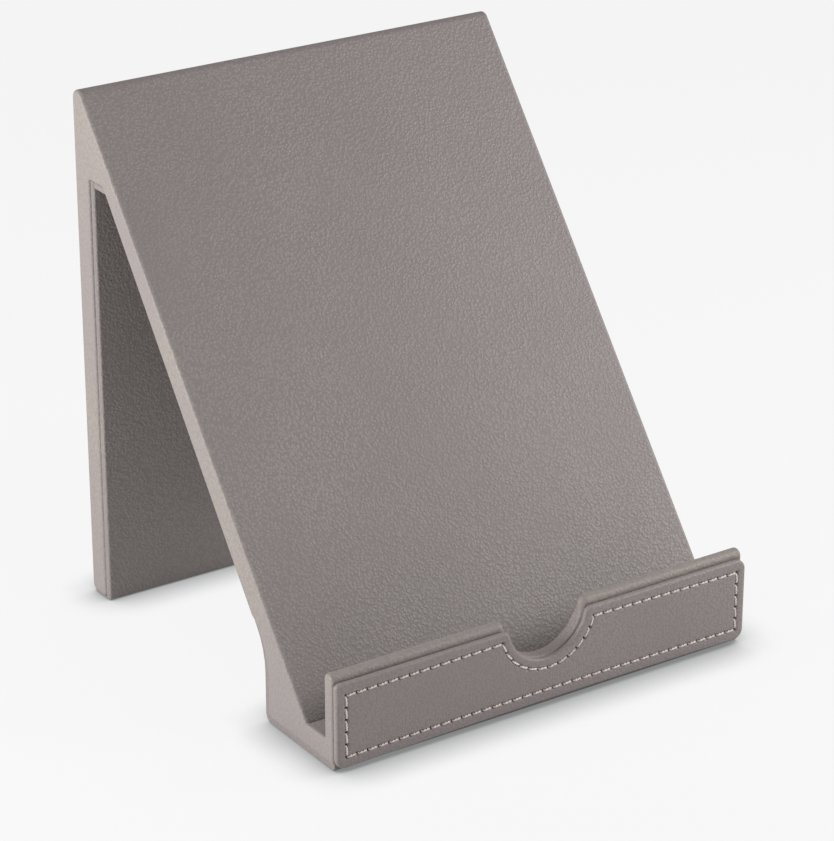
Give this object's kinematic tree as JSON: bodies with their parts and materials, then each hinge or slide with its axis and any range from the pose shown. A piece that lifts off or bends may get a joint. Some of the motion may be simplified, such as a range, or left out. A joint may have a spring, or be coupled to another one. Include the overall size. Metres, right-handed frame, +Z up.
{
  "type": "tablet stand",
  "caption": "Rigid leather-covered tablet stand: sloping panel on a shallow lipped tray with a thumb notch and a stitched facing, held up by a vertical rear leg.",
  "frame": {"origin": "middle of the footprint on the floor, halfway between the front of the facing and the back of the leg", "axes": "+Z up, +X to the right seen from the front, -Y to the front, where the lip is"},
  "size_m": [0.2, 0.1941, 0.225],
  "materials": {
    "mdf": "raw medium-density fibreboard",
    "beech": "planed beech",
    "card": "grey bookbinder's board",
    "steel": "bright drawn steel",
    "grained_leather": "taupe-grey leather with a fine pebbled grain, satin",
    "smooth_leather": "taupe-grey leather, nearly smooth, satin",
    "thread": "pale pinkish-cream twisted thread"
  },
  "bodies": {
    "root": {"panel_board": "mdf", "leg_board": "mdf", "ridge_block": "beech", "foot_block": "beech", "base_board": "mdf", "lip_board": "mdf", "ridge_dowels": "beech", "foot_dowels": "beech", "panel_pins": "steel", "lip_pins": "steel", "panel_wrap": "grained_leather", "tray_wrap": "grained_leather", "notch_lining": "smooth_leather", "side_cover_left": "grained_leather", "side_cover_right": "grained_leather", "leg_lining_board": "card", "leg_lining": "grained_leather", "ridge_lining": "grained_leather", "panel_lining": "grained_leather", "base_lining_board": "card", "foot_lining_board": "card", "base_lining": "grained_leather", "facing_board": "card", "facing_leather": "smooth_leather", "facing_stitching": "thread"}
  },
  "joints": []
}
